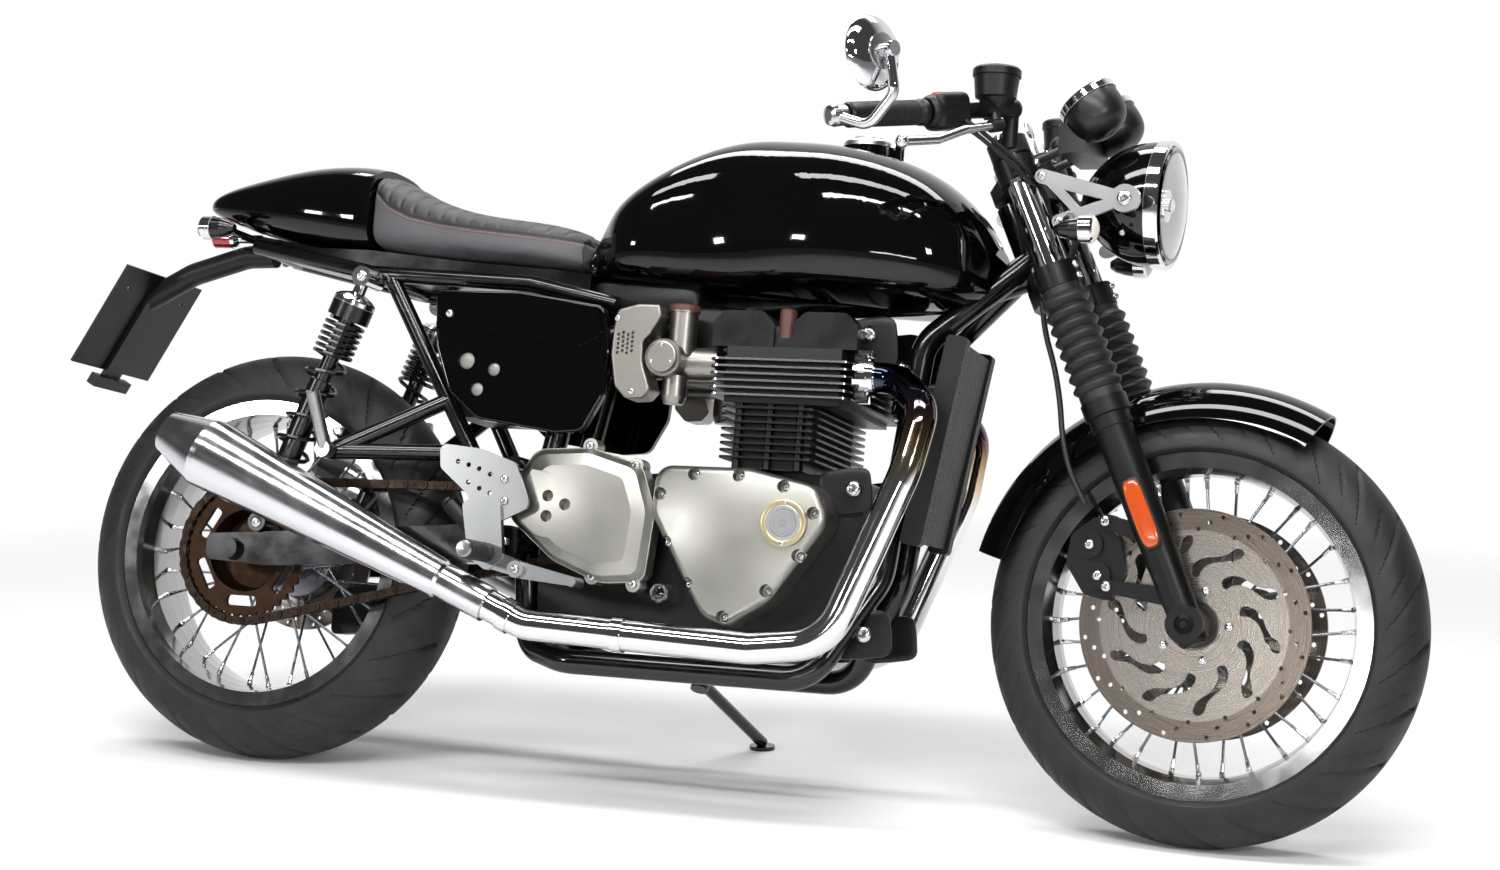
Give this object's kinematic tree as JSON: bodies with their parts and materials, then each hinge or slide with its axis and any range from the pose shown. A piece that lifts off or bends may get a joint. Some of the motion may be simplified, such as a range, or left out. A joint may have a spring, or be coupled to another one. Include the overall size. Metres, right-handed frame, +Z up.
{
  "type": "cafe racer motorcycle",
  "caption": "Cafe racer motorcycle with parallel twin engine, low clip-on bars, humped seat and reverse-cone silencers, leaning on its side stand.",
  "frame": {"origin": "centre of the parked machine's outline on the ground", "axes": "+X forward, +Y to the rider's left, +Z up; the machine leans 12 degrees to +Y on its side stand"},
  "size_m": [2.0623, 0.8757, 1.0956],
  "materials": {
    "airbox": "matt",
    "barrel": "satin",
    "brake_hoses": "matt",
    "cam_cover": "satin",
    "chain": "oiled",
    "clocks": "satin",
    "crankcase": "satin",
    "exhaust_pipes": "polished",
    "filler_lid": "polished",
    "fork_lowers": "satin",
    "frame": "gloss",
    "front_calipers": "satin",
    "front_discs": "satin",
    "front_hub": "satin",
    "front_indicators": "polished",
    "front_mudguard": "gloss",
    "front_rim": "polished",
    "front_tyre": "matt",
    "gaiters": "matt",
    "handlebars": "satin",
    "head": "satin",
    "headlamp_brackets": "satin",
    "headlamp_lens": "clear",
    "headlamp_shell": "gloss",
    "left_covers": "satin",
    "levers_and_mirrors": "satin",
    "number_plate": "satin",
    "radiator": "satin",
    "rear_caliper": "satin",
    "rear_disc": "satin",
    "rear_hub": "satin",
    "rear_lamps": "matt",
    "rear_rim": "polished",
    "rear_sprocket": "oiled",
    "rear_tyre": "matt",
    "rearsets": "satin",
    "right_covers": "satin",
    "seat": "satin",
    "seat_cowl": "gloss",
    "shocks": "satin",
    "side_panels": "gloss",
    "side_stand": "satin",
    "silencers": "polished",
    "stanchions": "polished",
    "subframe": "gloss",
    "swingarm": "satin",
    "tail_hanger": "matt",
    "tank": "gloss",
    "throttle_bodies": "satin",
    "yokes": "satin"
  },
  "bodies": {
    "front_wheel": {"front_discs": "front_discs", "front_hub": "front_hub", "front_rim": "front_rim", "front_tyre": "front_tyre"},
    "rear_wheel": {"rear_disc": "rear_disc", "rear_hub": "rear_hub", "rear_rim": "rear_rim", "rear_sprocket": "rear_sprocket", "rear_tyre": "rear_tyre"},
    "chassis": {"airbox": "airbox", "barrel": "barrel", "cam_cover": "cam_cover", "chain": "chain", "crankcase": "crankcase", "exhaust_pipes": "exhaust_pipes", "frame": "frame", "head": "head", "left_covers": "left_covers", "number_plate": "number_plate", "radiator": "radiator", "rear_caliper": "rear_caliper", "rear_lamps": "rear_lamps", "rearsets": "rearsets", "right_covers": "right_covers", "seat": "seat", "seat_cowl": "seat_cowl", "shocks": "shocks", "side_panels": "side_panels", "silencers": "silencers", "subframe": "subframe", "swingarm": "swingarm", "tail_hanger": "tail_hanger", "tank": "tank", "throttle_bodies": "throttle_bodies"},
    "filler_lid": {"filler_lid": "filler_lid"},
    "steering": {"brake_hoses": "brake_hoses", "clocks": "clocks", "fork_lowers": "fork_lowers", "front_calipers": "front_calipers", "front_indicators": "front_indicators", "front_mudguard": "front_mudguard", "gaiters": "gaiters", "handlebars": "handlebars", "headlamp_brackets": "headlamp_brackets", "headlamp_lens": "headlamp_lens", "headlamp_shell": "headlamp_shell", "levers_and_mirrors": "levers_and_mirrors", "stanchions": "stanchions", "yokes": "yokes"},
    "side_stand": {"side_stand": "side_stand"}
  },
  "joints": [
    {"name": "steering_turn", "type": "hinge", "parent": "chassis", "child": "steering", "pos_m": [0.46663, -0.04467, 0.78475], "axis": [-0.4071, 0.1899, 0.8934], "range_deg": [-21, 31]},
    {"name": "front_wheel_spin", "type": "hinge", "parent": "steering", "child": "front_wheel", "pos_m": [0.73088, -0.1524, 0.29345], "axis": [0.0797, 0.9818, -0.1724], "continuous": true},
    {"name": "rear_wheel_spin", "type": "hinge", "parent": "chassis", "child": "rear_wheel", "pos_m": [-0.684, -0.14655, 0.305], "axis": [0.0001, 0.9781, -0.2079], "continuous": true},
    {"name": "side_stand_swing", "type": "hinge", "parent": "chassis", "child": "side_stand", "pos_m": [-0.03393, -0.02935, 0.13517], "axis": [-0.0003, 0.6201, 0.7845], "range_deg": [0, 100]},
    {"name": "filler_lid_flip", "type": "hinge", "parent": "chassis", "child": "filler_lid", "pos_m": [0.25575, -0.01182, 0.93921], "axis": [0.0001, 0.9781, -0.2079], "range_deg": [0, 95]}
  ]
}
